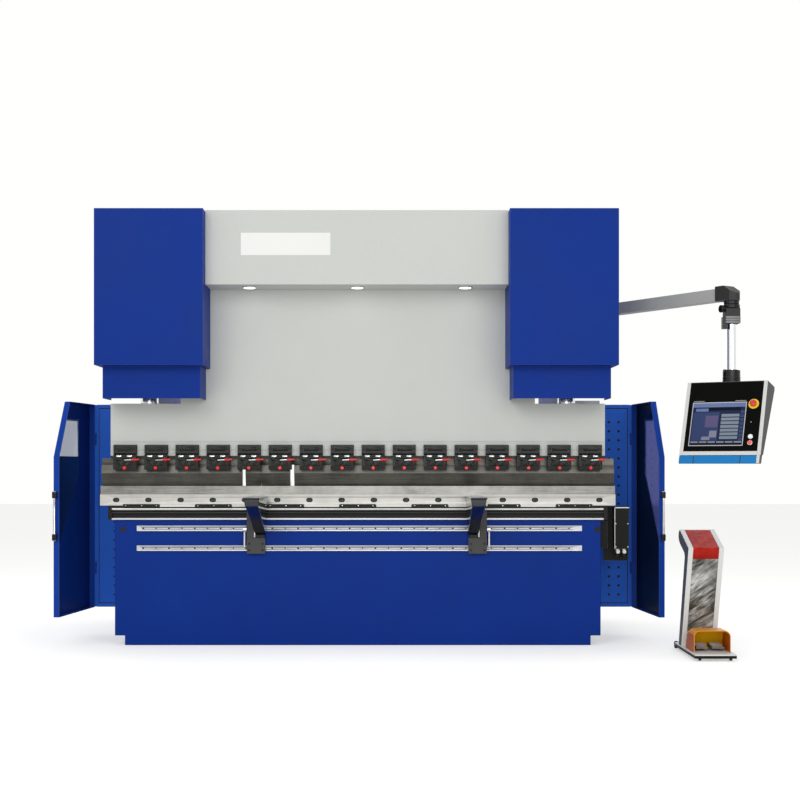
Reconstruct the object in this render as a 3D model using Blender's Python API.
"""Press brake with a 3.2 m bending length. Metres, +Z up.

X runs along the bending line and is 0 at the middle, Y is 0 on the bending line and grows towards the back,
Z is 0 on the floor. The ram rests at the bottom of its stroke, with the punch closed on the die.
"""
import math

import bmesh
import bpy
from mathutils import Matrix, Vector

# ---------------------------------------------------------------- driving dimensions
GAP = 0.0003  # between faces that touch
SHEET = 0.003  # folded sheet of covers, panels and doors
ROUND_SIDES = 24

# Bed and frames
BED_HALF = 1.508
BED_TOP = 0.778
BED_HALF_THICK = 0.045
TOE_HALF = 1.446
TOE_HEIGHT = 0.06
FRAME_CENTRE = 1.300
FRAME_THICK = 0.050
FRAME_BACK = 1.350
THROAT_BACK = 0.450
THROAT_TOP = 1.250
THROAT_RADIUS = 0.100
FRAME_REAR_CHAMFER = 0.250
HEAD_FRONT = 0.140  # front edge of the frame's upper arm

# Ram and stroke
RAM_HALF = 1.535
RAM_HALF_THICK = 0.040
RAM_BOTTOM = 1.176
RAM_SHOULDER = 1.500
RAM_NECK_HALF = 1.100
RAM_TOP = 2.350
RAM_SEAMS = (1.211, 1.263)
SEAM_SIZE = 0.003
STROKE = 0.200

# Cylinders, rods and guides
CYLINDER_RADIUS = 0.110
CYLINDER_HEIGHT = 0.730
CYLINDER_LIFT = 0.020  # between the raised shoulder and the cylinder's foot
ROD_RADIUS = 0.055
ROD_GRIP = 0.280  # length of rod inside the cylinder at rest
GUIDE_WIDTH = 0.120
GUIDE_BOTTOM = 1.300
GUIDE_TOP = 1.490

# Tooling
TOOL_HALF = 1.600
SUPPORT_HALF = 1.535
SUPPORT_HALF_THICK = 0.050
SUPPORT_HEIGHT = 0.0887
HOLDER_HALF_THICK = 0.045
HOLDER_HEIGHT = 0.0695
HOLDER_SLOT_PITCH = 0.200
HOLDER_SLOT_SIZE = (0.041, 0.028)
HOLDER_SLOT_DEPTH = 0.012
DIE_HALF_THICK = 0.030
DIE_HEIGHT = 0.052
V_HALF = 0.008
V_DEPTH = 0.008
PUNCH_TIP_RISE = 0.0035  # above the bottom of the V
TANG_HALF = 0.0075
PUNCH_SHOULDER = 1.118
PUNCH_JOINTS = ((-1.594, -0.719), (-0.699, -0.601), (-0.5995, -0.4215), (-0.3965, 1.594))
CLAMP_COUNT = 16
CLAMP_PITCH = 0.192
CLAMP_WIDTH = 0.143
CLAMP_BOTTOM = 1.090
CLAMP_TOP = 1.244
CLAMP_WAIST = (1.182, 1.190)
CLAMP_FRONT = 0.085
CLAMP_UPPER_FRONT = 0.072
ADAPTER_WEB = 0.016

# Covers and fascia
COVER_INNER = 0.915
COVER_OUTER = 1.565
COVER_TOP = 2.650
COVER_BOTTOM = 1.7155
COVER_FRONT = 0.380
COVER_BACK = 0.200
STEP_INSET = 0.027
STEP_SIDE_INSET = 0.033
STEP_BOTTOM = 1.520
STEP_FRONT = 0.290
RAM_RUNNING_GAP = 0.005
FASCIA_TOP = 2.657
FASCIA_BOTTOM = 2.208
FASCIA_FRONT = 0.280
FASCIA_BACK = 0.300

# Tank, motor, cabinet
TANK_FRONT = 0.160
TANK_DEPTH = 0.440
TANK_BOTTOM = 1.800
TANK_HEIGHT = 0.480
TANK_WALL = 0.008
MOTOR_RADIUS = 0.110
MOTOR_LENGTH = 0.340
MOTOR_X = -0.350
CABINET_DEPTH = 0.280
CABINET_FRONT = 0.620
CABINET_LENGTH = 0.680
CABINET_BOTTOM = 0.450
CABINET_HEIGHT = 1.100

# Side panels and doors
PANEL_Y = 0.510
PANEL_BOTTOM = 0.180
PANEL_TOP = 1.518
PANEL_FLANGE = 0.025
HINGE_LEFT = 1.749  # from the machine's middle to each door's hinge
HINGE_RIGHT = 1.795
HINGE_RADIUS = 0.009
HINGE_PIN_RADIUS = 0.004
HINGE_PIN_GAP = 0.0004
HINGE_LEAF = 0.006
KNUCKLE_HEIGHT = 0.040
KNUCKLE_BOTTOMS = (0.400, 1.250)
DOOR_WIDTH = 0.630
DOOR_THICK = 0.036
DOOR_START = 0.014  # from hinge axis to the door's edge
DOOR_TOP_LENGTH = 0.447
DOOR_FRONT_TOP = 1.167
DOOR_RIM = 0.035
DOOR_ANGLE_LEFT = 8.0
DOOR_ANGLE_RIGHT = 5.5
WINDOW_LAP = 0.012
WINDOW_THICK = 0.004
HANDLE_ENDS = (0.665, 0.945)
HANDLE_OFFSET = 0.040  # from the door's front edge to the front of the bar
HANDLE_IN = 0.019  # from the door's inner face to the bar's middle
HANDLE_RADIUS = 0.009
HANDLE_FOOT = 0.024

# Front rails and support arms
RAIL_LEFT = -1.370
RAIL_RIGHT = 1.390
RAIL_HEIGHT = 0.034
RAIL_THICK = 0.012
RAIL_DROPS = {"upper": 0.052, "lower": 0.175}  # from the bed's top to each rail's middle
CARRIAGE_LEFT = -0.629
CARRIAGE_RIGHT = 0.742
SUPPORT_ARM_SHIFT = 0.030  # from the carriage's middle towards the machine's
CARRIAGE_WIDTH = 0.115
CARRIAGE_DROP = 0.208  # from the bed's top to the carriage's lower edge
CARRIAGE_THICK = 0.020
SUPPORT_ARM_WIDTH = 0.066
SUPPORT_ARM_RISE = 0.152  # above the bed's top
SUPPORT_ARM_REACH = 0.560
SUPPORT_ARM_NOSE = 0.050
SUPPORT_CAP = 0.012
SUPPORT_CAP_LAP = 0.012  # beyond each side of the arm
LEVER_DROP = 0.058  # from the bed's top to the lever's pivot
LEVER_LENGTH = 0.110
LEVER_RADIUS = 0.007
LEVER_BOSS_RADIUS = 0.016
LEVER_BOSS_LENGTH = 0.020

# Crowning drive
DRIVE_LEFT = 1.5353
DRIVE_RIGHT = 1.690
DRIVE_DROP = 0.258  # from the bed's top to the plate's lower edge
DRIVE_RISE = 0.082  # above the bed's top
DRIVE_PLATE = 0.012
DRIVE_COVER_LOW = (1.590, -0.070, -0.178)  # X, Y and height from the bed's top
DRIVE_COVER_HIGH = (1.680, 0.021, 0.079)
DRIVE_FLANGE_DROP = 0.178
DRIVE_PLUGS = (1.615, 1.655)

# Control arm and panel
ARM_PIVOT = (1.600, 0.302)
ARM_ANGLE = -55.6
ARM_TUBE = 0.072
ARM_BOTTOM = 2.080
ARM_LENGTH = 0.955
ARM_PIN_RADIUS = 0.020
ARM_PIN_GAP = 0.0005
ARM_KNUCKLE_RADIUS = 0.040
BRACKET_HEIGHT = 0.060
BRACKET_WIDTH = 0.120
ELBOW_LENGTH = 0.135
ELBOW_HALF = 0.044
ELBOW_LIP = 0.012  # the elbow's top above the tube's
ELBOW_SLOPE = (0.070, 0.045)  # length and fall of its sloping end
ELBOW_CORNER = 0.030
SWIVEL_AT = 1.043  # along the arm from its pivot
SWIVEL_RADIUS = 0.038
SWIVEL_TOP = 2.030
SWIVEL_BOTTOM = 1.940
SWIVEL_HALF = 0.042
SWIVEL_PIN_RADIUS = 0.015
DROP_TUBE_RADIUS = 0.025
DROP_TUBE_BOTTOM = 1.670
COLLAR_RADIUS = 0.050
BOX_TOP = 1.600
BOX_BOTTOM = 1.174
BOX_HALF = 0.2333
BOX_YAW = -30.0
BOX_TILT = 21.0
BOX_FACE_TOP = -0.085
BOX_BACK = 0.062
BOX_TOP_FALL = 0.030  # the top slopes down to the back
BOX_BOSS_DROP = 0.005  # from the front edge of the top to the collar's seat
BOX_BACK_HEIGHT = 0.020
BOX_CHEEK = 0.020
BOX_FOOT_DEPTH = 0.055
BUTTON_TRAVEL = 0.004
ESTOP_AT = (0.166, 0.312)  # across the face from its middle, and up the face from its lower edge
START_AT = (0.166, 0.112)
STOP_AT = (0.166, 0.075)
ESTOP_RADIUS = 0.020
BUTTON_RADIUS = 0.012
BUTTON_STEM = 0.010
BUTTON_CLEARANCE = 0.0005
GRIP_HEIGHT = 0.048
GRIP_DEPTH = 0.034

# Back gauge
GAUGE_RAIL_WIDTH = 0.060
GAUGE_RAIL_DROP = 0.1088  # from the die's top to the rail's top
GAUGE_RAIL_HEIGHT = 0.040
GAUGE_RAIL_FRONT = 0.200
GAUGE_RAIL_BACK = 1.100
GAUGE_BEAM_Y = 0.700
GAUGE_BEAM_HALF = 0.040
GAUGE_BEAM_HEIGHT = 0.050
FINGER_X = 0.500
FINGER_WIDTH = 0.060
FINGER_TIP_Y = 0.470
FINGER_TIP_WIDTH = 0.030

# Foot station
FOOT_LEFT = 1.935
FOOT_RIGHT = 2.140
FOOT_BASE_RIGHT = 2.172
FOOT_FRONT = -0.745
FOOT_BACK = -0.165
FOOT_BASE_BOTTOM = 0.018
FOOT_BASE_TOP = 0.041
FOOT_COLUMN_OUTLINE = ((-0.383, 0.041), (-0.578, 0.634), (-0.340, 0.730), (-0.300, 0.705), (-0.300, 0.672),
                       (-0.345, 0.643), (-0.470, 0.592), (-0.300, 0.041))
GUARD_WIDTH = 0.212
GUARD_TOP = 0.166
GUARD_FRONT = -0.660
GUARD_BACK = -0.440
GUARD_TOP_BACK = -0.520
GUARD_SHEET = 0.004
GUARD_ROUND = 0.035
PEDAL_WIDTH = 0.070
PEDAL_AXLE_Y = -0.475
PEDAL_FRONT = -0.135  # from the axle
PEDAL_SOLE = -0.0075  # the underside, from the axle
PEDAL_RISE = 0.010
PEDAL_AXLE_RADIUS = 0.006
WHEEL_RADIUS = 0.022
WHEEL_WIDTH = 0.018
WHEEL_Y = -0.175
WHEEL_AXLE_RADIUS = 0.006

# ---------------------------------------------------------------- sizes that follow
FRAME_INNER = FRAME_CENTRE - FRAME_THICK / 2
FRAME_OUTER = FRAME_CENTRE + FRAME_THICK / 2
FRAME_TOP = COVER_TOP - SHEET - GAP
CYLINDER_BOTTOM = RAM_SHOULDER + STROKE + CYLINDER_LIFT
RAIL_CENTRES = {label: BED_TOP - drop for label, drop in RAIL_DROPS.items()}
CARRIAGE_BOTTOM = BED_TOP - CARRIAGE_DROP
SUPPORT_ARM_TOP = BED_TOP + SUPPORT_ARM_RISE
LEVER_Z = BED_TOP - LEVER_DROP
SUPPORT_TOP = BED_TOP + SUPPORT_HEIGHT
HOLDER_BOTTOM = SUPPORT_TOP + GAP
HOLDER_TOP = HOLDER_BOTTOM + HOLDER_HEIGHT
DIE_BOTTOM = HOLDER_TOP + GAP
DIE_TOP = DIE_BOTTOM + DIE_HEIGHT
TANG_TOP = RAM_BOTTOM - GAP - ADAPTER_WEB - GAP
RAIL_BACK_Y = -BED_HALF_THICK - GAP
CARRIAGE_BACK_Y = RAIL_BACK_Y - RAIL_THICK - GAP
TANK_TOP = TANK_BOTTOM + TANK_HEIGHT
CARRIAGES = {"left": CARRIAGE_LEFT, "right": CARRIAGE_RIGHT}
GAUGE_RAIL_TOP = DIE_TOP - GAUGE_RAIL_DROP
GAUGE_BEAM_BOTTOM = GAUGE_RAIL_TOP + GAP
GAUGE_BEAM_TOP = GAUGE_BEAM_BOTTOM + GAUGE_BEAM_HEIGHT
BOX_FACE_BOTTOM = BOX_FACE_TOP - (BOX_TOP - BOX_BOTTOM) * math.tan(math.radians(BOX_TILT))


# ---------------------------------------------------------------- materials
def material(name, colour, roughness=0.5, metallic=0.0):
    made = bpy.data.materials.new(name)
    made.use_nodes = True
    shader = made.node_tree.nodes["Principled BSDF"]
    shader.inputs["Base Color"].default_value = (*colour, 1.0)
    shader.inputs["Roughness"].default_value = roughness
    shader.inputs["Metallic"].default_value = metallic
    return made


for old in list(bpy.data.objects):
    bpy.data.objects.remove(old, do_unlink=True)

BLUE = material("blue_paint", (0.012, 0.045, 0.30), 0.35)
NAVY = material("navy_paint", (0.008, 0.012, 0.035), 0.3)
LIGHT_GREY = material("light_grey_paint", (0.60, 0.61, 0.59), 0.5)
DARK_GREY = material("dark_grey_paint", (0.06, 0.06, 0.06), 0.5)
MID_GREY = material("mid_grey_paint", (0.25, 0.25, 0.26), 0.45)
BLACK_OXIDE = material("black_oxide_steel", (0.02, 0.02, 0.02), 0.4, 0.7)
STEEL = material("bright_steel", (0.62, 0.62, 0.60), 0.3, 1.0)
BLACK_PLASTIC = material("black_plastic", (0.012, 0.012, 0.012), 0.4)
WINDOW = material("smoked_window", (0.10, 0.14, 0.20), 0.1)
RED = material("red_plastic", (0.55, 0.02, 0.015), 0.35)
WHITE = material("white_plastic", (0.75, 0.75, 0.72), 0.4)
GRIP_BLUE = material("grip_blue", (0.02, 0.20, 0.62), 0.35)
ORANGE = material("orange_paint", (0.78, 0.35, 0.01), 0.4)
RUBBER = material("black_rubber", (0.015, 0.015, 0.015), 0.8)


# ---------------------------------------------------------------- solids
def add(name, bm, finish=None, smooth=False):
    """Turns a bmesh into an object whose faces point outwards."""
    bmesh.ops.recalc_face_normals(bm, faces=bm.faces)
    mesh = bpy.data.meshes.new(name)
    bm.to_mesh(mesh)
    bm.free()
    made = bpy.data.objects.new(name, mesh)
    bpy.context.scene.collection.objects.link(made)
    if finish:
        mesh.materials.append(finish)
    if smooth:
        mesh.shade_smooth()
        mesh.set_sharp_from_angle(angle=math.radians(40))
    return made


def block(name, low, high, finish=None):
    bm = bmesh.new()
    size = Vector(high) - Vector(low)
    place = Matrix.Translation((Vector(high) + Vector(low)) / 2) @ Matrix.Diagonal((*size, 1.0))
    bmesh.ops.create_cube(bm, size=1.0, matrix=place)
    return add(name, bm, finish)


def prism(name, outline, axis, start, end, finish=None, smooth=False):
    """Extrudes an outline along an axis. Its points are (y, z) for X, (x, z) for Y and (x, y) for Z."""
    places = {"X": lambda a, b, t: (t, a, b), "Y": lambda a, b, t: (a, t, b), "Z": lambda a, b, t: (a, b, t)}
    bm = bmesh.new()
    face = bm.faces.new([bm.verts.new(places[axis](a, b, start)) for a, b in outline])
    raised = bmesh.ops.extrude_face_region(bm, geom=[face])["geom"]
    shift = Vector(places[axis](0, 0, end - start))
    bmesh.ops.translate(bm, vec=shift, verts=[v for v in raised if isinstance(v, bmesh.types.BMVert)])
    return add(name, bm, finish, smooth)


def circle(centre, radius, sides=ROUND_SIDES, start=0.0, sweep=360.0):
    """Points round a circle, or along an arc, which then holds both its ends."""
    whole = abs(sweep) >= 360.0
    steps = sides if whole else sides - 1
    turns = [math.radians(start + sweep * i / steps) for i in range(sides)]
    return [(centre[0] + radius * math.cos(a), centre[1] + radius * math.sin(a)) for a in turns]


def rod(name, centre, radius, axis, start, end, finish=None, sides=ROUND_SIDES):
    return prism(name, circle(centre, radius, sides), axis, start, end, finish, smooth=True)


def combine(target, operation, *tools):
    """Joins tools to the target or cuts them from it, and removes them."""
    for tool in tools:
        change = target.modifiers.new(operation.lower(), "BOOLEAN")
        change.operation = operation
        change.object = tool
    bpy.context.view_layer.update()
    graph = bpy.context.evaluated_depsgraph_get()
    finishes = list(target.data.materials)
    result = bpy.data.meshes.new_from_object(target.evaluated_get(graph))
    target.modifiers.clear()
    result.materials.clear()
    for finish in finishes:
        result.materials.append(finish)
    result.polygons.foreach_set("material_index", [0] * len(result.polygons))
    result.name = target.name
    target.data = result
    for tool in tools:
        bpy.data.objects.remove(tool, do_unlink=True)
    return target


def joined(target, *tools):
    return combine(target, "UNION", *tools)


def cut(target, *tools):
    return combine(target, "DIFFERENCE", *tools)


def mirrored(points, side):
    """The same outline on the other side of X = 0 for side -1."""
    return [(side * a, b) for a, b in points]


def span(side, near, far):
    """The X range from near to far on one side, lowest first."""
    return sorted((side * near, side * far))


def place_on(empty_name, place, *pieces):
    """Hangs pieces, modelled round the origin, on an empty that holds their joint's place."""
    empty = bpy.data.objects.new(empty_name, None)
    bpy.context.scene.collection.objects.link(empty)
    empty.matrix_world = place
    for piece in pieces:
        piece.parent = empty
    return empty


SIDES = {"left": -1, "right": 1}


# ---------------------------------------------------------------- frame, bed and ram
def side_frame(name, side):
    """C-shaped plate with a rounded throat, open to the front."""
    corner_y = THROAT_BACK - THROAT_RADIUS
    lower_arc = circle((corner_y, BED_TOP + THROAT_RADIUS), THROAT_RADIUS, 6, -90, 90)
    upper_arc = circle((corner_y, THROAT_TOP - THROAT_RADIUS), THROAT_RADIUS, 6, 0, 90)
    front = BED_HALF_THICK + GAP
    outline = [(front, 0.0), (front, BED_TOP), *lower_arc, *upper_arc, (HEAD_FRONT, THROAT_TOP),
               (HEAD_FRONT, FRAME_TOP), (FRAME_BACK - FRAME_REAR_CHAMFER, FRAME_TOP),
               (FRAME_BACK, FRAME_TOP - FRAME_REAR_CHAMFER), (FRAME_BACK, 0.0)]
    return prism(name, outline, "X", *span(side, FRAME_INNER, FRAME_OUTER), BLUE)


def bed_beam():
    bed = block("bed_beam", (-BED_HALF, -BED_HALF_THICK, TOE_HEIGHT), (BED_HALF, BED_HALF_THICK, BED_TOP), BLUE)
    toe = block("toe", (-TOE_HALF, -BED_HALF_THICK, 0), (TOE_HALF, BED_HALF_THICK, TOE_HEIGHT + 0.01))
    return joined(bed, toe)


def ram_plate():
    outline = [(-RAM_HALF, RAM_BOTTOM), (RAM_HALF, RAM_BOTTOM), (RAM_HALF, RAM_SHOULDER),
               (RAM_NECK_HALF, RAM_SHOULDER), (RAM_NECK_HALF, RAM_TOP), (-RAM_NECK_HALF, RAM_TOP),
               (-RAM_NECK_HALF, RAM_SHOULDER), (-RAM_HALF, RAM_SHOULDER)]
    ram = prism("ram_plate", outline, "Y", -RAM_HALF_THICK, RAM_HALF_THICK, LIGHT_GREY)
    front = -RAM_HALF_THICK
    seams = [block("seam", (-RAM_HALF - 0.01, front - SEAM_SIZE, z - SEAM_SIZE / 2),
                   (RAM_HALF + 0.01, front + SEAM_SIZE, z + SEAM_SIZE / 2)) for z in RAM_SEAMS]
    return cut(ram, *seams)


def cylinder(name, side):
    """Body with a blind bore for the rod and a pad that bolts to the frame's front edge."""
    x = side * FRAME_CENTRE
    top = CYLINDER_BOTTOM + CYLINDER_HEIGHT
    body = rod(name, (x, 0), CYLINDER_RADIUS, "Z", CYLINDER_BOTTOM, top, DARK_GREY)
    pad = block("pad", (x - 0.09, 0, CYLINDER_BOTTOM + 0.05), (x + 0.09, HEAD_FRONT - GAP, top - 0.05))
    bore = rod("bore", (x, 0), ROD_RADIUS + 2 * GAP, "Z", CYLINDER_BOTTOM - 0.01,
               CYLINDER_BOTTOM + ROD_GRIP + STROKE + 0.03)
    return cut(joined(body, pad), bore)


def cylinders():
    for label, side in SIDES.items():
        cylinder(f"cylinder_{label}", side)
        rod(f"piston_rod_{label}", (side * FRAME_CENTRE, 0), ROD_RADIUS, "Z", RAM_SHOULDER + GAP,
            CYLINDER_BOTTOM + ROD_GRIP, STEEL)
        x = side * FRAME_CENTRE
        block(f"ram_guide_{label}", (x - GUIDE_WIDTH / 2, RAM_HALF_THICK + GAP, GUIDE_BOTTOM),
              (x + GUIDE_WIDTH / 2, HEAD_FRONT - GAP, GUIDE_TOP), STEEL)


# ---------------------------------------------------------------- tooling
def v_die():
    half, low, high = DIE_HALF_THICK, DIE_BOTTOM, DIE_TOP
    outline = [(-half, low), (half, low), (half, high), (V_HALF, high), (0, high - V_DEPTH),
               (-V_HALF, high), (-half, high)]
    return prism("bottom_die", outline, "X", -TOOL_HALF, TOOL_HALF, STEEL)


def die_holder():
    """Bar with a slotted bolt pocket every pitch along its front."""
    holder = block("die_holder", (-TOOL_HALF, -HOLDER_HALF_THICK, HOLDER_BOTTOM),
                   (TOOL_HALF, HOLDER_HALF_THICK, HOLDER_TOP), STEEL)
    count = round(2 * TOOL_HALF / HOLDER_SLOT_PITCH)
    width, height = HOLDER_SLOT_SIZE
    middle = HOLDER_BOTTOM + HOLDER_HEIGHT / 2
    radius, reach = height / 2, (width - height) / 2
    slots = []
    for i in range(count):
        x = (i - (count - 1) / 2) * HOLDER_SLOT_PITCH
        outline = circle((x + reach, middle), radius, 6, -90, 180) + circle((x - reach, middle), radius, 6, 90, 180)
        slots.append(prism("slot", outline, "Y", -HOLDER_HALF_THICK - 0.01, -HOLDER_HALF_THICK + HOLDER_SLOT_DEPTH))
    return cut(holder, *slots)


def punch(name, left, right):
    """Gooseneck section: tip in the V, a swept body, and a tang between the clamp's jaws."""
    tip = DIE_TOP - V_DEPTH + PUNCH_TIP_RISE
    outline = [(0.0, tip), (0.0060, DIE_TOP + 0.003), (0.0110, DIE_TOP + 0.030), (0.0200, PUNCH_SHOULDER - 0.035),
               (0.0200, PUNCH_SHOULDER), (TANG_HALF, PUNCH_SHOULDER), (TANG_HALF, TANG_TOP),
               (-TANG_HALF, TANG_TOP), (-TANG_HALF, PUNCH_SHOULDER), (-0.0240, PUNCH_SHOULDER),
               (-0.0300, PUNCH_SHOULDER - 0.050), (-0.0060, DIE_TOP + 0.003)]
    return prism(name, outline, "X", left, right, BLACK_OXIDE)


def punch_clamps():
    """Adapter rail under the ram, with one quick clamp every pitch in front of the tangs."""
    jaw = TANG_HALF + GAP
    low = PUNCH_SHOULDER + GAP
    top = RAM_BOTTOM - GAP
    rail = [(-RAM_HALF_THICK, top), (-RAM_HALF_THICK, top - ADAPTER_WEB), (jaw, top - ADAPTER_WEB),
            (jaw, low), (RAM_HALF_THICK, low), (RAM_HALF_THICK, top)]
    adapter = prism("punch_clamps", rail, "X", -RAM_HALF, RAM_HALF, BLACK_OXIDE)
    waist_low, waist_high = CLAMP_WAIST
    face = -RAM_HALF_THICK - GAP
    lower = [(-jaw, low), (-0.034, low), (-0.034, CLAMP_BOTTOM), (-CLAMP_FRONT, CLAMP_BOTTOM),
             (-CLAMP_FRONT, waist_low), (-CLAMP_UPPER_FRONT + 0.01, waist_high), (-CLAMP_UPPER_FRONT, waist_high),
             (-CLAMP_UPPER_FRONT, CLAMP_TOP), (face, CLAMP_TOP), (face, top - 0.001), (-jaw, top - 0.001)]
    clamps = []
    for i in range(CLAMP_COUNT):
        x = (i - (CLAMP_COUNT - 1) / 2) * CLAMP_PITCH
        clamps.append(prism("clamp", lower, "X", x - CLAMP_WIDTH / 2, x + CLAMP_WIDTH / 2))
    return joined(adapter, *clamps)


def tooling():
    block("support_beam", (-SUPPORT_HALF, -SUPPORT_HALF_THICK, BED_TOP + GAP),
          (SUPPORT_HALF, SUPPORT_HALF_THICK, SUPPORT_TOP), DARK_GREY)
    die_holder()
    v_die()
    punch_clamps()
    names = ("punch_left", "punch_section_a", "punch_section_b", "punch_right")
    for name, (left, right) in zip(names, PUNCH_JOINTS):
        punch(name, left, right)


# ---------------------------------------------------------------- covers, fascia and what they hide
def cylinder_cover(name, side):
    """Folded sheet box with a smaller step below, open at the back."""
    def box(label, near, far, front, back, low, high):
        x0, x1 = span(side, near, far)
        return block(label, (x0, front, low), (x1, back, high), BLUE)

    step_in, step_out = COVER_INNER + STEP_INSET, COVER_OUTER - STEP_SIDE_INSET
    step_back = -RAM_HALF_THICK - RAM_RUNNING_GAP
    outer = box(name, COVER_INNER, COVER_OUTER, -COVER_FRONT, COVER_BACK, COVER_BOTTOM, COVER_TOP)
    step = box("step", step_in, step_out, -STEP_FRONT, step_back, STEP_BOTTOM, COVER_BOTTOM + SHEET / 2)
    joined(outer, step)
    hollow = box("hollow", COVER_INNER + SHEET, COVER_OUTER - SHEET, -COVER_FRONT + SHEET, COVER_BACK + 0.01,
                 COVER_BOTTOM + SHEET, COVER_TOP - SHEET)
    step_hollow = box("step_hollow", step_in + SHEET, step_out - SHEET, -STEP_FRONT + SHEET, COVER_BACK + 0.02,
                      STEP_BOTTOM - 0.01, COVER_BOTTOM + 2 * SHEET)
    rear = box("rear", COVER_INNER - 0.01, COVER_OUTER - SHEET, step_back, COVER_BACK + 0.03,
               COVER_BOTTOM - 0.01, COVER_TOP - SHEET)
    return cut(outer, hollow, step_hollow, rear)


def head_beam():
    """Fascia: a folded sheet with front, underside and top, between the two covers."""
    half = COVER_INNER - GAP
    low, high, front = FASCIA_BOTTOM, FASCIA_TOP, -FASCIA_FRONT
    under_back = -RAM_HALF_THICK - RAM_RUNNING_GAP
    outline = [(under_back, low), (front, low), (front, high), (FASCIA_BACK, high), (FASCIA_BACK, high - SHEET),
               (front + SHEET, high - SHEET), (front + SHEET, low + SHEET), (under_back, low + SHEET)]
    return prism("head_beam", outline, "X", -half, half, LIGHT_GREY)


def oil_tank():
    half = FRAME_INNER - GAP
    back = TANK_FRONT + TANK_DEPTH
    tank = block("oil_tank", (-half, TANK_FRONT, TANK_BOTTOM), (half, back, TANK_TOP), BLUE)
    wall = TANK_WALL
    inside = block("inside", (-half + wall, TANK_FRONT + wall, TANK_BOTTOM + wall),
                   (half - wall, back - wall, TANK_TOP - wall))
    filler = rod("filler", (-MOTOR_X * 1.5, (TANK_FRONT + back) / 2), 0.04, "Z", TANK_TOP - 0.03, TANK_TOP + 0.03,
                 sides=12)
    return cut(tank, inside, filler)


def pump_motor():
    y = TANK_FRONT + TANK_DEPTH / 2
    z = TANK_TOP + MOTOR_RADIUS + 0.02
    motor = rod("pump_motor", (y, z), MOTOR_RADIUS, "X", MOTOR_X, MOTOR_X + MOTOR_LENGTH, MID_GREY)
    pump = rod("pump", (y, z), MOTOR_RADIUS * 0.6, "X", MOTOR_X - 0.16, MOTOR_X + 0.02, sides=16)
    foot = block("foot", (MOTOR_X - 0.10, y - 0.09, TANK_TOP + GAP), (MOTOR_X + MOTOR_LENGTH - 0.04, y + 0.09, z))
    return joined(motor, pump, foot)


def electrical_cabinet():
    """Sheet box on the outer face of the right frame, open towards it."""
    near, far = FRAME_OUTER + GAP, FRAME_OUTER + GAP + CABINET_DEPTH
    back, top = CABINET_FRONT + CABINET_LENGTH, CABINET_BOTTOM + CABINET_HEIGHT
    cabinet = block("electrical_cabinet", (near, CABINET_FRONT, CABINET_BOTTOM), (far, back, top), LIGHT_GREY)
    inside = block("inside", (near - 0.01, CABINET_FRONT + SHEET, CABINET_BOTTOM + SHEET),
                   (far - SHEET, back - SHEET, top - SHEET))
    return cut(cabinet, inside)


def covers():
    for label, side in SIDES.items():
        cylinder_cover(f"cylinder_cover_{label}", side)
    head_beam()
    oil_tank()
    pump_motor()
    electrical_cabinet()


# ---------------------------------------------------------------- side panels and doors
def door_hinge(side):
    """Distance of a door's hinge from the middle, and the angle at which the door stands open."""
    return (HINGE_LEFT, DOOR_ANGLE_LEFT) if side < 0 else (HINGE_RIGHT, DOOR_ANGLE_RIGHT)


def side_panel(name, side):
    """Sheet from the frame out to the hinges, with a flange and two hinge knuckles with pins."""
    hinge_x, _ = door_hinge(side)
    near, edge = FRAME_OUTER + GAP, hinge_x - HINGE_RADIUS - 2 * GAP
    y0, y1 = PANEL_Y, PANEL_Y + SHEET
    outline = [(near, y0), (edge, y0), (edge, y1 + PANEL_FLANGE), (edge - SHEET, y1 + PANEL_FLANGE),
               (edge - SHEET, y1), (near + SHEET, y1), (near + SHEET, y1 + PANEL_FLANGE), (near, y1 + PANEL_FLANGE)]
    panel = prism(name, mirrored(outline, side), "Z", PANEL_BOTTOM, PANEL_TOP, BLUE)
    hinge = (side * hinge_x, PANEL_Y)
    knuckles = []
    for low in KNUCKLE_BOTTOMS:
        x0, x1 = span(side, edge - 0.002, hinge_x)
        top = low + KNUCKLE_HEIGHT
        leaf = block("leaf", (x0, y0, low), (x1, y0 + 0.006, top))
        knuckle = rod("knuckle", hinge, HINGE_RADIUS, "Z", low, top, sides=16)
        pin = rod("pin", hinge, HINGE_PIN_RADIUS, "Z", low + 0.005, top + KNUCKLE_HEIGHT, sides=12)
        knuckles += [leaf, knuckle, pin]
    return joined(panel, *knuckles)


def door_outline(start, end, inset=0.0):
    """Door edge as (distance from the hinge, height), with the front top corner cut off."""
    slope_x, slope_z = DOOR_WIDTH - DOOR_TOP_LENGTH, PANEL_TOP - DOOR_FRONT_TOP
    slant = math.hypot(slope_x, slope_z)
    turn = inset * (slant - slope_z) / slope_x
    rise = inset * (slant - slope_x) / slope_z
    return [(start + inset, PANEL_BOTTOM + inset), (end - inset, PANEL_BOTTOM + inset),
            (end - inset, DOOR_FRONT_TOP - rise), (DOOR_TOP_LENGTH - turn, PANEL_TOP - inset),
            (start + inset, PANEL_TOP - inset)]


def window_outline(grow=0.0):
    """Slanted window opening as (distance from the hinge, height)."""
    return [(0.240 - grow, 1.050), (0.575 + grow, 0.590 - grow), (0.575 + grow, 1.150), (0.430 + grow / 2, 1.400 + grow),
            (0.240 - grow, 1.400 + grow)]


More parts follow.
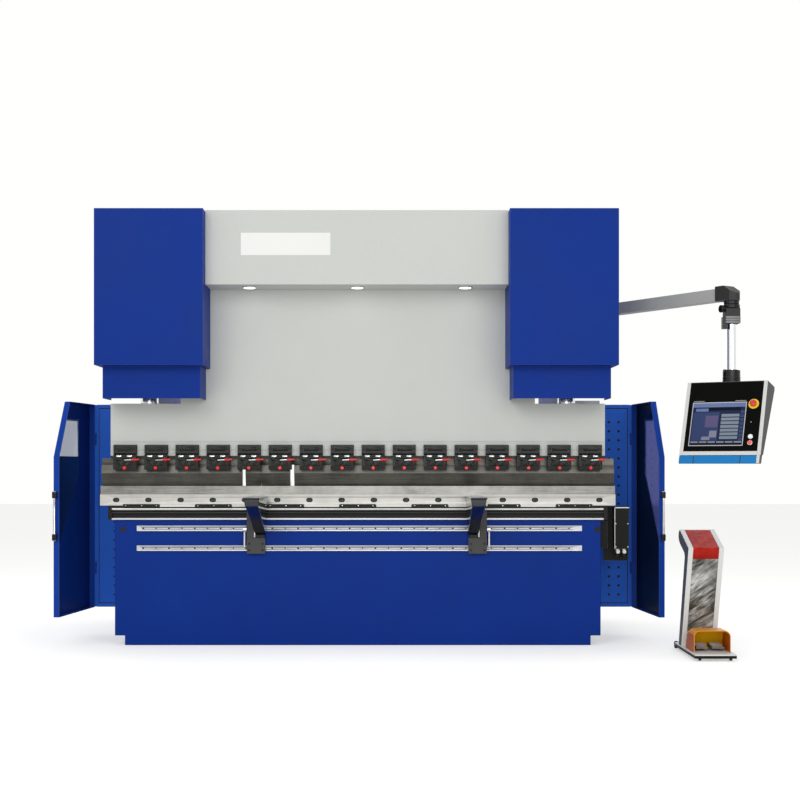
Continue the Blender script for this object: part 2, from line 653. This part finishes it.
def door(label, side):
    """Folded door, its window and handle, modelled straight ahead of the hinge and then turned open."""
    def plate(name, outline, near, far, finish=None):
        points = [(-u, z) for u, z in outline]
        return prism(name, points, "X", *span(side, near, far), finish)

    skin = plate(f"door_{label}", door_outline(DOOR_START, DOOR_WIDTH), 0.0, DOOR_THICK, BLUE)
    pocket = plate("pocket", door_outline(DOOR_START, DOOR_WIDTH, SHEET), -0.01, DOOR_THICK - SHEET)
    opening = plate("opening", window_outline(), -0.01, DOOR_THICK + 0.01)
    cut(skin, pocket, opening)
    centre = (0.0, 0.0)
    parts, bores = [], []
    for low in KNUCKLE_BOTTOMS:
        bottom = low + KNUCKLE_HEIGHT + GAP
        top = bottom + KNUCKLE_HEIGHT
        x0, x1 = span(side, HINGE_LEAF / 4, HINGE_LEAF)
        parts.append(block("leaf", (x0, -DOOR_START - SHEET / 2, bottom), (x1, -HINGE_PIN_RADIUS / 2, top)))
        parts.append(rod("knuckle", centre, HINGE_RADIUS, "Z", bottom, top, sides=16))
        bores.append(rod("bore", centre, HINGE_PIN_RADIUS + HINGE_PIN_GAP, "Z", bottom - 0.01, top + 0.01, sides=12))
    joined(skin, *parts)
    cut(skin, *bores)
    inner = DOOR_THICK - SHEET - GAP
    window = plate(f"door_window_{label}", window_outline(WINDOW_LAP), inner - WINDOW_THICK, inner, WINDOW)
    bar_y = -(DOOR_WIDTH + HANDLE_OFFSET - HANDLE_RADIUS)
    low, high = HANDLE_ENDS
    handle = rod(f"door_handle_{label}", (side * HANDLE_IN, bar_y), HANDLE_RADIUS, "Z", low, high, STEEL, sides=12)
    x0, x1 = span(side, HANDLE_IN - HANDLE_FOOT / 2, HANDLE_IN + HANDLE_FOOT / 2)
    feet = [block("foot", (x0, -DOOR_WIDTH - HANDLE_OFFSET, z), (x1, -DOOR_WIDTH - GAP, z + HANDLE_FOOT))
            for z in (low - HANDLE_FOOT / 2, high - HANDLE_FOOT / 2)]
    joined(handle, *feet)
    hinge_x, angle = door_hinge(side)
    turn = Matrix.Rotation(math.radians(side * angle), 4, "Z")
    place_on(f"door_hinge_{label}", Matrix.Translation((side * hinge_x, PANEL_Y, 0)) @ turn, skin, window, handle)


def sides():
    for label, side in SIDES.items():
        side_panel(f"side_panel_{label}", side)
        door(label, side)


# ---------------------------------------------------------------- front of the bed
def front_support(label, x):
    """Sheet support arm on a carriage that slides on both front rails, with its clamp lever."""
    back, front = CARRIAGE_BACK_Y, CARRIAGE_BACK_Y - CARRIAGE_THICK
    side = math.copysign(1, x)
    half, arm = CARRIAGE_WIDTH / 2, SUPPORT_ARM_WIDTH / 2
    arm_x = x - side * SUPPORT_ARM_SHIFT
    top = SUPPORT_ARM_TOP
    nose = CARRIAGE_BACK_Y - SUPPORT_ARM_REACH
    carriage = block(f"front_support_{label}", (x - half, front, CARRIAGE_BOTTOM), (x + half, back, top - 0.1),
                     BLACK_PLASTIC)
    gusset = [(back - 0.001, CARRIAGE_BOTTOM + 0.08), (front - 0.03, CARRIAGE_BOTTOM + 0.08),
              (nose, top - SUPPORT_ARM_NOSE), (nose, top - SUPPORT_CAP / 2), (back - 0.001, top - SUPPORT_CAP / 2)]
    body = prism("body", gusset, "X", arm_x - arm, arm_x + arm)
    lap = arm + SUPPORT_CAP_LAP
    cap = block("cap", (arm_x - lap, nose - 0.006, top - SUPPORT_CAP), (arm_x + lap, back, top))
    joined(carriage, body, cap)
    pivot = (front, LEVER_Z)
    edge = x + side * (half + GAP)
    end = edge + side * LEVER_BOSS_LENGTH
    boss = rod(f"clamp_lever_{label}", pivot, LEVER_BOSS_RADIUS, "X", *sorted((edge, end)), STEEL, sides=16)
    bar_x = end - side * LEVER_RADIUS
    bar = rod("bar", (bar_x, pivot[0]), LEVER_RADIUS, "Z", LEVER_Z - LEVER_LENGTH, LEVER_Z, sides=12)
    joined(boss, bar)


def crowning_drive():
    """Drive box on the bed's right end that sets the support beam's crown."""
    bed_top = Vector((0, 0, BED_TOP))
    low, high = Vector(DRIVE_COVER_LOW) + bed_top, Vector(DRIVE_COVER_HIGH) + bed_top
    plate = block("crowning_drive", (DRIVE_LEFT, high[1] - 0.001, BED_TOP - DRIVE_DROP),
                  (DRIVE_RIGHT, high[1] + DRIVE_PLATE, BED_TOP + DRIVE_RISE), BLACK_PLASTIC)
    cover = block("cover", low, high)
    flange = block("flange", (BED_HALF + GAP, -0.020, BED_TOP - DRIVE_FLANGE_DROP), (DRIVE_LEFT + 0.02, 0.040, BED_TOP - 0.01))
    plugs = [rod("plug", (x, -0.030), 0.013, "Z", low[2] - 0.045, low[2] + 0.01, sides=12) for x in DRIVE_PLUGS]
    return joined(plate, cover, flange, *plugs)


def bed_front():
    for label, centre in RAIL_CENTRES.items():
        block(f"front_rail_{label}", (RAIL_LEFT, RAIL_BACK_Y - RAIL_THICK, centre - RAIL_HEIGHT / 2),
              (RAIL_RIGHT, RAIL_BACK_Y, centre + RAIL_HEIGHT / 2), STEEL)
    for label, x in CARRIAGES.items():
        front_support(label, x)
    crowning_drive()


# ---------------------------------------------------------------- control arm and panel
def arm_bracket(frame):
    """Welded bracket on the right frame that ends in the arm's upright pin."""
    x, y = ARM_PIVOT
    low, high = ARM_BOTTOM - GAP - BRACKET_HEIGHT, ARM_BOTTOM - GAP
    beam = block("beam", (FRAME_OUTER - 0.01, y - BRACKET_WIDTH / 2, low), (x - 0.02, y + BRACKET_WIDTH / 2, high))
    knuckle = rod("knuckle", ARM_PIVOT, ARM_KNUCKLE_RADIUS, "Z", low, high)
    pin = rod("pin", ARM_PIVOT, ARM_PIN_RADIUS, "Z", low + 0.01, ARM_BOTTOM + ARM_TUBE)
    return joined(frame, beam, knuckle, pin)


def swing_arm():
    """Square tube and elbow, modelled along +X from the pivot and then turned."""
    half = ARM_TUBE / 2
    arm = block("swing_arm", (0.0, -half, ARM_BOTTOM), (ARM_LENGTH, half, ARM_BOTTOM + ARM_TUBE), MID_GREY)
    hub = rod("hub", (0, 0), half + 0.003, "Z", ARM_BOTTOM, ARM_BOTTOM + ARM_TUBE + 0.002)
    bore = rod("bore", (0, 0), ARM_PIN_RADIUS + ARM_PIN_GAP, "Z", ARM_BOTTOM - 0.01, ARM_BOTTOM + ARM_TUBE + 0.01)
    cut(joined(arm, hub), bore)
    low, high = ARM_BOTTOM - 0.003, ARM_BOTTOM + ARM_TUBE + ELBOW_LIP
    start, end = ARM_LENGTH + GAP, ARM_LENGTH + ELBOW_LENGTH
    length, fall = ELBOW_SLOPE
    outline = [(start, low), (end, low), (end, high - fall), (end - length, high), (start, high)]
    elbow = prism("arm_elbow", outline, "Y", -ELBOW_HALF, ELBOW_HALF, BLACK_PLASTIC)
    for side in SIDES.values():
        corner = [(end - ELBOW_CORNER, side * (ELBOW_HALF + 0.01)), (end + 0.01, side * (ELBOW_HALF + 0.01)),
                  (end + 0.01, side * (ELBOW_HALF - ELBOW_CORNER - 0.01))]
        cut(elbow, prism("corner", corner, "Z", low - 0.01, high + 0.01))
    seat = rod("seat", (SWIVEL_AT, 0), SWIVEL_RADIUS, "Z", SWIVEL_TOP, low + 0.01)
    pin = rod("pin", (SWIVEL_AT, 0), SWIVEL_PIN_RADIUS, "Z", SWIVEL_BOTTOM + 0.03, SWIVEL_TOP + 0.01, sides=16)
    joined(elbow, seat, pin)
    turn = Matrix.Rotation(math.radians(ARM_ANGLE), 4, "Z")
    place_on("arm_pivot", Matrix.Translation((*ARM_PIVOT, 0)) @ turn, arm, elbow)


def face_point(across, up, out=0.0):
    """A point on the control panel's sloping face, in the panel's own frame."""
    tilt = math.radians(BOX_TILT)
    return Vector((across, BOX_FACE_BOTTOM + up * math.sin(tilt) - out * math.cos(tilt),
                   BOX_BOTTOM + up * math.cos(tilt) + out * math.sin(tilt)))


def face_rod(name, at, radius, inside, outside, finish=None, sides=16):
    """A round piece square to the sloping face, from inside it to outside it."""
    made = rod(name, (0, 0), radius, "Z", -inside, outside, finish, sides)
    square = Matrix.Rotation(math.radians(90.0 - BOX_TILT), 4, "X")
    made.data.transform(Matrix.Translation(face_point(*at)) @ square)
    return made


def face_y(z):
    """Where the sloping face, carried on up or down, is at a height."""
    return BOX_FACE_BOTTOM - (BOX_BOTTOM - z) * math.tan(math.radians(BOX_TILT))


def control_panel():
    back_top = BOX_TOP - BOX_TOP_FALL
    outline = [(BOX_FACE_BOTTOM, BOX_BOTTOM), (BOX_FACE_TOP, BOX_TOP), (BOX_BACK, back_top),
               (BOX_BACK, back_top - BOX_BACK_HEIGHT), (BOX_FACE_BOTTOM + BOX_FOOT_DEPTH, BOX_BOTTOM)]
    box = prism("control_panel", outline, "X", -BOX_HALF, BOX_HALF, BLACK_PLASTIC)
    boss = rod("boss", (0, 0), COLLAR_RADIUS, "Z", back_top - 0.01, BOX_TOP - BOX_BOSS_DROP)
    low = BOX_BOTTOM - GRIP_HEIGHT
    lip = face_y(low)
    cheek_outline = [(face_y(BOX_BOTTOM + 0.02) + 0.002, BOX_BOTTOM + 0.02), (lip + 0.002, low),
                     (lip + 0.002 + GRIP_DEPTH, low), (BOX_FACE_BOTTOM + BOX_FOOT_DEPTH - 0.004, BOX_BOTTOM + 0.02)]
    cheek = prism("cheek", cheek_outline, "X", BOX_HALF - BOX_CHEEK, BOX_HALF - 0.001)
    joined(box, boss, cheek)
    controls = {"estop_button": (ESTOP_AT, BUTTON_RADIUS), "start_button": (START_AT, BUTTON_RADIUS),
                "stop_button": (STOP_AT, BUTTON_RADIUS)}
    for at, radius in controls.values():
        cut(box, face_rod("bore", at, radius + BUTTON_CLEARANCE, 0.020, 0.010))
    finishes = {"estop_button": RED, "start_button": WHITE, "stop_button": RED}
    pieces = [box]
    for name, (at, radius) in controls.items():
        button = face_rod(name, at, radius, 0.012, BUTTON_STEM, finishes[name])
        pieces.append(button)
        if name == "estop_button":
            head = face_rod("head", at, ESTOP_RADIUS, -BUTTON_TRAVEL - 0.003, BUTTON_STEM + 0.012, sides=ROUND_SIDES)
            joined(button, head)
    top = BOX_BOTTOM - GAP
    grip_outline = [(face_y(top), top), (face_y(low + 0.008), low + 0.008), (lip + 0.006, low),
                    (lip + GRIP_DEPTH - 0.008, low), (lip + GRIP_DEPTH, low + 0.010), (face_y(top) + GRIP_DEPTH, top)]
    pieces.append(prism("panel_handle", grip_outline, "X", -BOX_HALF, BOX_HALF - BOX_CHEEK - GAP, GRIP_BLUE))
    return pieces


def pendant():
    """Swivel block, drop tube with its collar, and the panel, round the swivel's upright axis."""
    swivel = block("pendant_swivel", (-SWIVEL_HALF, -SWIVEL_HALF, SWIVEL_BOTTOM),
                   (SWIVEL_HALF, SWIVEL_HALF, SWIVEL_TOP - GAP), BLACK_PLASTIC)
    cut(swivel, rod("bore", (0, 0), SWIVEL_PIN_RADIUS + ARM_PIN_GAP, "Z", SWIVEL_BOTTOM + 0.025, SWIVEL_TOP + 0.01,
                    sides=16))
    tube = rod("drop_tube", (0, 0), DROP_TUBE_RADIUS, "Z", DROP_TUBE_BOTTOM - 0.01, SWIVEL_BOTTOM - GAP, STEEL)
    joined(tube, rod("collar", (0, 0), COLLAR_RADIUS, "Z", BOX_TOP - BOX_BOSS_DROP + GAP,
                     DROP_TUBE_BOTTOM))
    angle = math.radians(ARM_ANGLE)
    x = ARM_PIVOT[0] + SWIVEL_AT * math.cos(angle)
    y = ARM_PIVOT[1] + SWIVEL_AT * math.sin(angle)
    place = Matrix.Translation((x, y, 0))
    place_on("pendant_axis", place, swivel, tube)
    place_on("panel_axis", place @ Matrix.Rotation(math.radians(BOX_YAW), 4, "Z"), *control_panel())


# ---------------------------------------------------------------- back gauge
def back_gauge():
    top = GAUGE_RAIL_TOP
    for label, side in SIDES.items():
        x0, x1 = span(side, FRAME_INNER - GAP - GAUGE_RAIL_WIDTH, FRAME_INNER - GAP)
        block(f"gauge_rail_{label}", (x0, GAUGE_RAIL_FRONT, top - GAUGE_RAIL_HEIGHT), (x1, GAUGE_RAIL_BACK, top), STEEL)
    half = FRAME_INNER - 0.010
    block("gauge_beam", (-half, GAUGE_BEAM_Y - GAUGE_BEAM_HALF, GAUGE_BEAM_BOTTOM),
          (half, GAUGE_BEAM_Y + GAUGE_BEAM_HALF, GAUGE_BEAM_TOP), MID_GREY)
    seat, tip = GAUGE_BEAM_TOP + GAP, DIE_TOP + 0.020
    for label, side in SIDES.items():
        x = side * FINGER_X
        back = GAUGE_BEAM_Y + GAUGE_BEAM_HALF - 0.01
        base = block(f"gauge_finger_{label}", (x - FINGER_WIDTH / 2, GAUGE_BEAM_Y - GAUGE_BEAM_HALF, seat),
                     (x + FINGER_WIDTH / 2, back, tip), STEEL)
        nose = block("nose", (x - FINGER_TIP_WIDTH / 2, FINGER_TIP_Y, DIE_TOP - 0.015),
                     (x + FINGER_TIP_WIDTH / 2, GAUGE_BEAM_Y, DIE_TOP + 0.015))
        joined(base, nose)


# ---------------------------------------------------------------- foot station
def pedal_guard():
    """Rounded cowl over the pedals with a sloping back, open to the front and below."""
    middle = (FOOT_LEFT + FOOT_BASE_RIGHT) / 2
    bottom = FOOT_BASE_TOP + GAP

    def behind(name, shift):
        low, high, back = bottom - 0.02, GUARD_TOP + 0.02, GUARD_BACK + 0.05
        lean = (GUARD_TOP_BACK - GUARD_BACK) / (GUARD_TOP - bottom)
        ends = [(GUARD_BACK + shift + lean * (z - bottom), z) for z in (low, high)]
        return prism(name, [ends[0], (back, low), (back, high), ends[1]], "X", middle - GUARD_WIDTH,
                     middle + GUARD_WIDTH)

    def arch(name, inset, front, back, low, finish=None):
        x0, x1 = middle - GUARD_WIDTH / 2 + inset, middle + GUARD_WIDTH / 2 - inset
        radius, top = GUARD_ROUND - inset, GUARD_TOP - inset
        outline = [(x0, low), (x1, low), *circle((x1 - radius, top - radius), radius, 6, 0, 90),
                   *circle((x0 + radius, top - radius), radius, 6, 90, 90)]
        return prism(name, outline, "Y", front, back, finish)

    guard = arch("pedal_guard", 0.0, GUARD_FRONT, GUARD_BACK, bottom, ORANGE)
    cut(guard, behind("back_slope", 0.0))
    hollow = arch("hollow", GUARD_SHEET, GUARD_FRONT - 0.01, GUARD_BACK, bottom - 0.01)
    cut(hollow, behind("inner_slope", -1.2 * GUARD_SHEET))
    cut(guard, hollow)
    axle_y, axle_z = PEDAL_AXLE_Y, pedal_height()
    axle = rod("axle", (axle_y, axle_z), PEDAL_AXLE_RADIUS, "X", middle - GUARD_WIDTH / 2 + 0.001,
               middle + GUARD_WIDTH / 2 - 0.001, sides=12)
    return joined(guard, axle), middle, axle_y


def pedal_height():
    return FOOT_BASE_TOP + PEDAL_RISE + PEDAL_AXLE_RADIUS + 0.006


def pedals():
    guard, middle, axle_y = pedal_guard()
    z = pedal_height()
    for label, side in SIDES.items():
        x = middle + side * (PEDAL_WIDTH / 2 + 0.012)
        outline = [(PEDAL_FRONT, PEDAL_SOLE), (PEDAL_FRONT, PEDAL_SOLE + 0.009), (-0.018, 0.014),
                   (0.0, PEDAL_AXLE_RADIUS + 0.003), (0.0, PEDAL_SOLE)]
        plate = prism(f"pedal_{label}", outline, "X", x - PEDAL_WIDTH / 2, x + PEDAL_WIDTH / 2, DARK_GREY)
        hub = rod("hub", (0, 0), PEDAL_AXLE_RADIUS + 0.004, "X", x - PEDAL_WIDTH / 2, x + PEDAL_WIDTH / 2, sides=16)
        bore = rod("bore", (0, 0), PEDAL_AXLE_RADIUS + 2 * GAP, "X", x - PEDAL_WIDTH, x + PEDAL_WIDTH, sides=12)
        cut(joined(plate, hub), bore)
        place_on(f"pedal_axle_{label}", Matrix.Translation((0, axle_y, z)), plate)


def foot_station():
    """Wheeled base, leaning column, guard with two pedals and the two rear wheels on stub axles."""
    base = block("foot_base", (FOOT_LEFT, FOOT_FRONT, FOOT_BASE_BOTTOM), (FOOT_BASE_RIGHT, FOOT_BACK, FOOT_BASE_TOP),
                 WHITE)
    axle_z = WHEEL_RADIUS
    feet = [rod("foot", (x, FOOT_FRONT + 0.02), 0.010, "Z", 0.0, FOOT_BASE_BOTTOM + 0.005, sides=12)
            for x in (FOOT_LEFT + 0.03, FOOT_BASE_RIGHT - 0.03)]
    axle = rod("axle", (WHEEL_Y, axle_z), WHEEL_AXLE_RADIUS, "X", FOOT_LEFT + 0.004, FOOT_BASE_RIGHT - 0.004, sides=12)
    wells = [block("well", (x - 0.002, WHEEL_Y - WHEEL_RADIUS - 0.004, 0), (x + WHEEL_WIDTH + 0.008,
                   WHEEL_Y + WHEEL_RADIUS + 0.02, 0.1)) for x in (FOOT_LEFT, FOOT_BASE_RIGHT - WHEEL_WIDTH - 0.006)]
    cut(base, *wells)
    joined(base, *feet, axle)
    for label, x in (("left", FOOT_LEFT + 0.004), ("right", FOOT_BASE_RIGHT - 0.004 - WHEEL_WIDTH)):
        wheel = rod(f"foot_wheel_{label}", (WHEEL_Y, axle_z), WHEEL_RADIUS, "X", x, x + WHEEL_WIDTH, RUBBER, sides=32)
        cut(wheel, rod("bore", (WHEEL_Y, axle_z), WHEEL_AXLE_RADIUS + 2 * GAP, "X", x - 0.01, x + WHEEL_WIDTH + 0.01,
                       sides=12))
    outline = [(y, z + (GAP if z == FOOT_BASE_TOP else 0.0)) for y, z in FOOT_COLUMN_OUTLINE]
    prism("foot_column", outline, "X", FOOT_LEFT, FOOT_RIGHT, RED)
    pedals()


# ---------------------------------------------------------------- the machine
side_frame("side_frame_left", SIDES["left"])
arm_bracket(side_frame("side_frame_right", SIDES["right"]))
bed_beam()
ram_plate()
cylinders()
tooling()
covers()
sides()
bed_front()
swing_arm()
pendant()
back_gauge()
foot_station()
